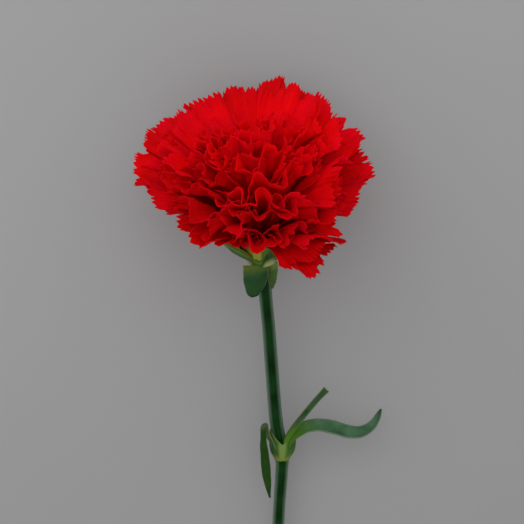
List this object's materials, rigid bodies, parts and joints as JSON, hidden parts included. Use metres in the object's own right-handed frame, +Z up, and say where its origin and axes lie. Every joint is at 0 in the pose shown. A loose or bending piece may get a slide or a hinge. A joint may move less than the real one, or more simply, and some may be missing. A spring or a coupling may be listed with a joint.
{
  "type": "cut carnation",
  "caption": "Cut carnation lying on its side: a ruffled red bloom in a spread green calyx, on a short stem with narrow leaves and a cut side shoot.",
  "frame": {"origin": "middle of the flower's footprint, on the surface that it lies on", "axes": "+Z up from the surface, +Y from the stem's cut end towards the bloom, +X to the right seen from above with the bloom at the top"},
  "size_m": [0.0835, 0.2318, 0.0708],
  "materials": {
    "petal": "soft and matt, deep scarlet with crimson shading towards the foot and fine veins",
    "calyx": "satin, yellow green at the base and on the lobes' edges, darker outside",
    "bract": "waxy blue green with a pale bloom towards the tip",
    "young_bract": "satin yellow green",
    "stem": "satin dark green with faint lengthwise ribs and a waxy grey bloom, pale where cut",
    "leaf": "waxy grey green with parallel veins, yellow green at the base"
  },
  "bodies": {
    "root": {"bloom": "petal", "calyx": "calyx", "bract_front": "bract", "bract_back": "young_bract", "stem": "stem", "side_shoot": "stem", "leaf_right": "leaf", "leaf_left": "leaf"}
  },
  "joints": []
}
